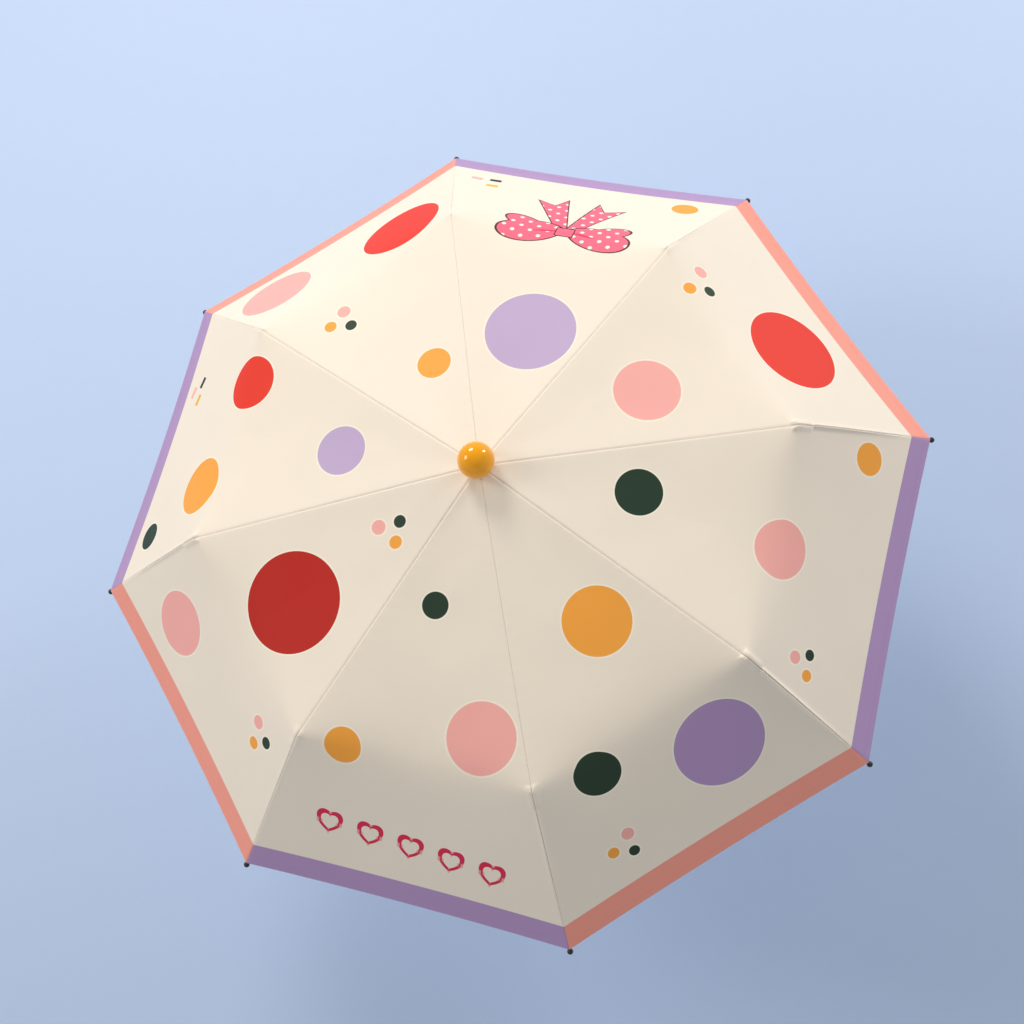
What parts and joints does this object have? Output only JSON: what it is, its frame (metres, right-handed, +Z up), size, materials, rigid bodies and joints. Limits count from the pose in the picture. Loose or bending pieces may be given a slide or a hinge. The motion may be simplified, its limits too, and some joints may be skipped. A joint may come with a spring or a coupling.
{
  "type": "children's folding umbrella",
  "caption": "Open children's umbrella: dotted gored canopy on folding ribs, with a sliding runner, a telescoping shaft, a straight handle and a round ball on top.",
  "frame": {"origin": "centre of the handle's flat bottom end, which is the bottom centre of the whole open umbrella", "axes": "+Z up the shaft from the handle to the ball; +X along the first rib; ribs every 45 degrees"},
  "size_m": [0.8914, 0.8914, 0.5832],
  "materials": {
    "yellow_gloss_plastic": "gloss",
    "shaft_steel": "satin",
    "wire_steel": "satin",
    "black_plastic": "satin",
    "black_rib_steel": "satin",
    "coated_fabric": "smooth coated weave"
  },
  "bodies": {
    "handle": {"handle_grip": "yellow_gloss_plastic", "handle_end_cap": "yellow_gloss_plastic", "lower_tube": "shaft_steel"},
    "middle_shaft": {"middle_tube": "shaft_steel", "middle_tube_collar": "black_plastic"},
    "upper_shaft": {"upper_tube": "shaft_steel", "upper_tube_collar": "black_plastic", "crown": "black_plastic", "crown_wire": "wire_steel", "canopy_washer": "black_plastic", "ferrule_ball": "yellow_gloss_plastic", "canopy_panel_1": "coated_fabric", "canopy_panel_2": "coated_fabric", "canopy_panel_3": "coated_fabric", "canopy_panel_4": "coated_fabric", "canopy_panel_5": "coated_fabric", "canopy_panel_6": "coated_fabric", "canopy_panel_7": "coated_fabric", "canopy_panel_8": "coated_fabric"},
    "runner": {"runner": "black_plastic"},
    "top_rib_1": {"top_rib_1": "black_rib_steel"},
    "top_rib_2": {"top_rib_2": "black_rib_steel"},
    "top_rib_3": {"top_rib_3": "black_rib_steel"},
    "top_rib_4": {"top_rib_4": "black_rib_steel"},
    "top_rib_5": {"top_rib_5": "black_rib_steel"},
    "top_rib_6": {"top_rib_6": "black_rib_steel"},
    "top_rib_7": {"top_rib_7": "black_rib_steel"},
    "top_rib_8": {"top_rib_8": "black_rib_steel"},
    "strut_1": {"strut_1": "black_rib_steel"},
    "strut_2": {"strut_2": "black_rib_steel"},
    "strut_3": {"strut_3": "black_rib_steel"},
    "strut_4": {"strut_4": "black_rib_steel"},
    "strut_5": {"strut_5": "black_rib_steel"},
    "strut_6": {"strut_6": "black_rib_steel"},
    "strut_7": {"strut_7": "black_rib_steel"},
    "strut_8": {"strut_8": "black_rib_steel"},
    "link_wire_1": {"link_wire_1": "wire_steel"},
    "link_wire_2": {"link_wire_2": "wire_steel"},
    "link_wire_3": {"link_wire_3": "wire_steel"},
    "link_wire_4": {"link_wire_4": "wire_steel"},
    "link_wire_5": {"link_wire_5": "wire_steel"},
    "link_wire_6": {"link_wire_6": "wire_steel"},
    "link_wire_7": {"link_wire_7": "wire_steel"},
    "link_wire_8": {"link_wire_8": "wire_steel"},
    "middle_rib_1": {"middle_rib_1": "black_rib_steel"},
    "middle_rib_2": {"middle_rib_2": "black_rib_steel"},
    "middle_rib_3": {"middle_rib_3": "black_rib_steel"},
    "middle_rib_4": {"middle_rib_4": "black_rib_steel"},
    "middle_rib_5": {"middle_rib_5": "black_rib_steel"},
    "middle_rib_6": {"middle_rib_6": "black_rib_steel"},
    "middle_rib_7": {"middle_rib_7": "black_rib_steel"},
    "middle_rib_8": {"middle_rib_8": "black_rib_steel"},
    "outer_rib_1": {"outer_rib_1": "black_rib_steel"},
    "outer_rib_2": {"outer_rib_2": "black_rib_steel"},
    "outer_rib_3": {"outer_rib_3": "black_rib_steel"},
    "outer_rib_4": {"outer_rib_4": "black_rib_steel"},
    "outer_rib_5": {"outer_rib_5": "black_rib_steel"},
    "outer_rib_6": {"outer_rib_6": "black_rib_steel"},
    "outer_rib_7": {"outer_rib_7": "black_rib_steel"},
    "outer_rib_8": {"outer_rib_8": "black_rib_steel"}
  },
  "joints": [
    {"name": "lower_telescope", "type": "slide", "parent": "handle", "child": "middle_shaft", "axis": [0, 0, -1], "range_m": [0, 0.1555]},
    {"name": "upper_telescope", "type": "slide", "parent": "middle_shaft", "child": "upper_shaft", "axis": [0, 0, -1], "range_m": [0, 0.148]},
    {"name": "runner_slide", "type": "slide", "parent": "upper_shaft", "child": "runner", "axis": [0, 0, -1], "range_m": [0, 0.1263], "deforming": ["canopy_panel_1", "canopy_panel_2", "canopy_panel_3", "canopy_panel_4", "canopy_panel_5", "canopy_panel_6", "canopy_panel_7", "canopy_panel_8"]},
    {"name": "top_rib_1_swing", "type": "hinge", "parent": "upper_shaft", "child": "top_rib_1", "pos_m": [0.01, 0, 0.54649], "axis": [0, 1, 0], "range_deg": [0, 77.6]},
    {"name": "strut_1_swing", "type": "hinge", "parent": "top_rib_1", "child": "strut_1", "pos_m": [0.0866, 0, 0.53164], "axis": [0, -1, 0], "range_deg": [0, 155.1]},
    {"name": "link_wire_1_swing", "type": "hinge", "parent": "strut_1", "child": "link_wire_1", "pos_m": [0.07661, 0, 0.53112], "axis": [0, 1, 0], "range_deg": [0, 155.1]},
    {"name": "middle_rib_1_fold", "type": "hinge", "parent": "top_rib_1", "child": "middle_rib_1", "pos_m": [0.15893, 0, 0.52156], "axis": [0, -1, 0], "range_deg": [0, 176.1]},
    {"name": "outer_rib_1_fold", "type": "hinge", "parent": "middle_rib_1", "child": "outer_rib_1", "pos_m": [0.30624, 0, 0.49306], "axis": [0, 1, 0], "range_deg": [0, 147.6]},
    {"name": "top_rib_2_swing", "type": "hinge", "parent": "upper_shaft", "child": "top_rib_2", "pos_m": [0.00707, 0.00707, 0.54649], "axis": [-0.7071, 0.7071, 0], "range_deg": [0, 77.6]},
    {"name": "strut_2_swing", "type": "hinge", "parent": "top_rib_2", "child": "strut_2", "pos_m": [0.06124, 0.06124, 0.53164], "axis": [0.7071, -0.7071, 0], "range_deg": [0, 155.1]},
    {"name": "link_wire_2_swing", "type": "hinge", "parent": "strut_2", "child": "link_wire_2", "pos_m": [0.05417, 0.05417, 0.53112], "axis": [-0.7071, 0.7071, 0], "range_deg": [0, 155.1]},
    {"name": "middle_rib_2_fold", "type": "hinge", "parent": "top_rib_2", "child": "middle_rib_2", "pos_m": [0.11238, 0.11238, 0.52156], "axis": [0.7071, -0.7071, 0], "range_deg": [0, 176.1]},
    {"name": "outer_rib_2_fold", "type": "hinge", "parent": "middle_rib_2", "child": "outer_rib_2", "pos_m": [0.21655, 0.21655, 0.49306], "axis": [-0.7071, 0.7071, 0], "range_deg": [0, 147.6]},
    {"name": "top_rib_3_swing", "type": "hinge", "parent": "upper_shaft", "child": "top_rib_3", "pos_m": [0, 0.01, 0.54649], "axis": [-1, 0, 0], "range_deg": [0, 77.6]},
    {"name": "strut_3_swing", "type": "hinge", "parent": "top_rib_3", "child": "strut_3", "pos_m": [0, 0.0866, 0.53164], "axis": [1, 0, 0], "range_deg": [0, 155.1]},
    {"name": "link_wire_3_swing", "type": "hinge", "parent": "strut_3", "child": "link_wire_3", "pos_m": [0, 0.07661, 0.53112], "axis": [-1, 0, 0], "range_deg": [0, 155.1]},
    {"name": "middle_rib_3_fold", "type": "hinge", "parent": "top_rib_3", "child": "middle_rib_3", "pos_m": [0, 0.15893, 0.52156], "axis": [1, 0, 0], "range_deg": [0, 176.1]},
    {"name": "outer_rib_3_fold", "type": "hinge", "parent": "middle_rib_3", "child": "outer_rib_3", "pos_m": [0, 0.30624, 0.49306], "axis": [-1, 0, 0], "range_deg": [0, 147.6]},
    {"name": "top_rib_4_swing", "type": "hinge", "parent": "upper_shaft", "child": "top_rib_4", "pos_m": [-0.00707, 0.00707, 0.54649], "axis": [-0.7071, -0.7071, 0], "range_deg": [0, 77.6]},
    {"name": "strut_4_swing", "type": "hinge", "parent": "top_rib_4", "child": "strut_4", "pos_m": [-0.06124, 0.06124, 0.53164], "axis": [0.7071, 0.7071, 0], "range_deg": [0, 155.1]},
    {"name": "link_wire_4_swing", "type": "hinge", "parent": "strut_4", "child": "link_wire_4", "pos_m": [-0.05417, 0.05417, 0.53112], "axis": [-0.7071, -0.7071, 0], "range_deg": [0, 155.1]},
    {"name": "middle_rib_4_fold", "type": "hinge", "parent": "top_rib_4", "child": "middle_rib_4", "pos_m": [-0.11238, 0.11238, 0.52156], "axis": [0.7071, 0.7071, 0], "range_deg": [0, 176.1]},
    {"name": "outer_rib_4_fold", "type": "hinge", "parent": "middle_rib_4", "child": "outer_rib_4", "pos_m": [-0.21655, 0.21655, 0.49306], "axis": [-0.7071, -0.7071, 0], "range_deg": [0, 147.6]},
    {"name": "top_rib_5_swing", "type": "hinge", "parent": "upper_shaft", "child": "top_rib_5", "pos_m": [-0.01, 0, 0.54649], "axis": [0, -1, 0], "range_deg": [0, 77.6]},
    {"name": "strut_5_swing", "type": "hinge", "parent": "top_rib_5", "child": "strut_5", "pos_m": [-0.0866, 0, 0.53164], "axis": [0, 1, 0], "range_deg": [0, 155.1]},
    {"name": "link_wire_5_swing", "type": "hinge", "parent": "strut_5", "child": "link_wire_5", "pos_m": [-0.07661, 0, 0.53112], "axis": [0, -1, 0], "range_deg": [0, 155.1]},
    {"name": "middle_rib_5_fold", "type": "hinge", "parent": "top_rib_5", "child": "middle_rib_5", "pos_m": [-0.15893, 0, 0.52156], "axis": [0, 1, 0], "range_deg": [0, 176.1]},
    {"name": "outer_rib_5_fold", "type": "hinge", "parent": "middle_rib_5", "child": "outer_rib_5", "pos_m": [-0.30624, 0, 0.49306], "axis": [0, -1, 0], "range_deg": [0, 147.6]},
    {"name": "top_rib_6_swing", "type": "hinge", "parent": "upper_shaft", "child": "top_rib_6", "pos_m": [-0.00707, -0.00707, 0.54649], "axis": [0.7071, -0.7071, 0], "range_deg": [0, 77.6]},
    {"name": "strut_6_swing", "type": "hinge", "parent": "top_rib_6", "child": "strut_6", "pos_m": [-0.06124, -0.06124, 0.53164], "axis": [-0.7071, 0.7071, 0], "range_deg": [0, 155.1]},
    {"name": "link_wire_6_swing", "type": "hinge", "parent": "strut_6", "child": "link_wire_6", "pos_m": [-0.05417, -0.05417, 0.53112], "axis": [0.7071, -0.7071, 0], "range_deg": [0, 155.1]},
    {"name": "middle_rib_6_fold", "type": "hinge", "parent": "top_rib_6", "child": "middle_rib_6", "pos_m": [-0.11238, -0.11238, 0.52156], "axis": [-0.7071, 0.7071, 0], "range_deg": [0, 176.1]},
    {"name": "outer_rib_6_fold", "type": "hinge", "parent": "middle_rib_6", "child": "outer_rib_6", "pos_m": [-0.21655, -0.21655, 0.49306], "axis": [0.7071, -0.7071, 0], "range_deg": [0, 147.6]},
    {"name": "top_rib_7_swing", "type": "hinge", "parent": "upper_shaft", "child": "top_rib_7", "pos_m": [0, -0.01, 0.54649], "axis": [1, 0, 0], "range_deg": [0, 77.6]},
    {"name": "strut_7_swing", "type": "hinge", "parent": "top_rib_7", "child": "strut_7", "pos_m": [0, -0.0866, 0.53164], "axis": [-1, 0, 0], "range_deg": [0, 155.1]},
    {"name": "link_wire_7_swing", "type": "hinge", "parent": "strut_7", "child": "link_wire_7", "pos_m": [0, -0.07661, 0.53112], "axis": [1, 0, 0], "range_deg": [0, 155.1]},
    {"name": "middle_rib_7_fold", "type": "hinge", "parent": "top_rib_7", "child": "middle_rib_7", "pos_m": [0, -0.15893, 0.52156], "axis": [-1, 0, 0], "range_deg": [0, 176.1]},
    {"name": "outer_rib_7_fold", "type": "hinge", "parent": "middle_rib_7", "child": "outer_rib_7", "pos_m": [0, -0.30624, 0.49306], "axis": [1, 0, 0], "range_deg": [0, 147.6]},
    {"name": "top_rib_8_swing", "type": "hinge", "parent": "upper_shaft", "child": "top_rib_8", "pos_m": [0.00707, -0.00707, 0.54649], "axis": [0.7071, 0.7071, 0], "range_deg": [0, 77.6]},
    {"name": "strut_8_swing", "type": "hinge", "parent": "top_rib_8", "child": "strut_8", "pos_m": [0.06124, -0.06124, 0.53164], "axis": [-0.7071, -0.7071, 0], "range_deg": [0, 155.1]},
    {"name": "link_wire_8_swing", "type": "hinge", "parent": "strut_8", "child": "link_wire_8", "pos_m": [0.05417, -0.05417, 0.53112], "axis": [0.7071, 0.7071, 0], "range_deg": [0, 155.1]},
    {"name": "middle_rib_8_fold", "type": "hinge", "parent": "top_rib_8", "child": "middle_rib_8", "pos_m": [0.11238, -0.11238, 0.52156], "axis": [-0.7071, -0.7071, 0], "range_deg": [0, 176.1]},
    {"name": "outer_rib_8_fold", "type": "hinge", "parent": "middle_rib_8", "child": "outer_rib_8", "pos_m": [0.21655, -0.21655, 0.49306], "axis": [0.7071, 0.7071, 0], "range_deg": [0, 147.6]}
  ],
  "couplings": [
    {"joint": "top_rib_1_swing", "follows": "runner_slide", "rad_per_m": 10.71},
    {"joint": "strut_1_swing", "follows": "runner_slide", "rad_per_m": 21.419},
    {"joint": "link_wire_1_swing", "follows": "runner_slide", "rad_per_m": 21.419},
    {"joint": "middle_rib_1_fold", "follows": "runner_slide", "rad_per_m": 24.321},
    {"joint": "outer_rib_1_fold", "follows": "runner_slide", "rad_per_m": 20.383},
    {"joint": "top_rib_2_swing", "follows": "runner_slide", "rad_per_m": 10.71},
    {"joint": "strut_2_swing", "follows": "runner_slide", "rad_per_m": 21.419},
    {"joint": "link_wire_2_swing", "follows": "runner_slide", "rad_per_m": 21.419},
    {"joint": "middle_rib_2_fold", "follows": "runner_slide", "rad_per_m": 24.321},
    {"joint": "outer_rib_2_fold", "follows": "runner_slide", "rad_per_m": 20.383},
    {"joint": "top_rib_3_swing", "follows": "runner_slide", "rad_per_m": 10.71},
    {"joint": "strut_3_swing", "follows": "runner_slide", "rad_per_m": 21.419},
    {"joint": "link_wire_3_swing", "follows": "runner_slide", "rad_per_m": 21.419},
    {"joint": "middle_rib_3_fold", "follows": "runner_slide", "rad_per_m": 24.321},
    {"joint": "outer_rib_3_fold", "follows": "runner_slide", "rad_per_m": 20.383},
    {"joint": "top_rib_4_swing", "follows": "runner_slide", "rad_per_m": 10.71},
    {"joint": "strut_4_swing", "follows": "runner_slide", "rad_per_m": 21.419},
    {"joint": "link_wire_4_swing", "follows": "runner_slide", "rad_per_m": 21.419},
    {"joint": "middle_rib_4_fold", "follows": "runner_slide", "rad_per_m": 24.321},
    {"joint": "outer_rib_4_fold", "follows": "runner_slide", "rad_per_m": 20.383},
    {"joint": "top_rib_5_swing", "follows": "runner_slide", "rad_per_m": 10.71},
    {"joint": "strut_5_swing", "follows": "runner_slide", "rad_per_m": 21.419},
    {"joint": "link_wire_5_swing", "follows": "runner_slide", "rad_per_m": 21.419},
    {"joint": "middle_rib_5_fold", "follows": "runner_slide", "rad_per_m": 24.321},
    {"joint": "outer_rib_5_fold", "follows": "runner_slide", "rad_per_m": 20.383},
    {"joint": "top_rib_6_swing", "follows": "runner_slide", "rad_per_m": 10.71},
    {"joint": "strut_6_swing", "follows": "runner_slide", "rad_per_m": 21.419},
    {"joint": "link_wire_6_swing", "follows": "runner_slide", "rad_per_m": 21.419},
    {"joint": "middle_rib_6_fold", "follows": "runner_slide", "rad_per_m": 24.321},
    {"joint": "outer_rib_6_fold", "follows": "runner_slide", "rad_per_m": 20.383},
    {"joint": "top_rib_7_swing", "follows": "runner_slide", "rad_per_m": 10.71},
    {"joint": "strut_7_swing", "follows": "runner_slide", "rad_per_m": 21.419},
    {"joint": "link_wire_7_swing", "follows": "runner_slide", "rad_per_m": 21.419},
    {"joint": "middle_rib_7_fold", "follows": "runner_slide", "rad_per_m": 24.321},
    {"joint": "outer_rib_7_fold", "follows": "runner_slide", "rad_per_m": 20.383},
    {"joint": "top_rib_8_swing", "follows": "runner_slide", "rad_per_m": 10.71},
    {"joint": "strut_8_swing", "follows": "runner_slide", "rad_per_m": 21.419},
    {"joint": "link_wire_8_swing", "follows": "runner_slide", "rad_per_m": 21.419},
    {"joint": "middle_rib_8_fold", "follows": "runner_slide", "rad_per_m": 24.321},
    {"joint": "outer_rib_8_fold", "follows": "runner_slide", "rad_per_m": 20.383}
  ]
}
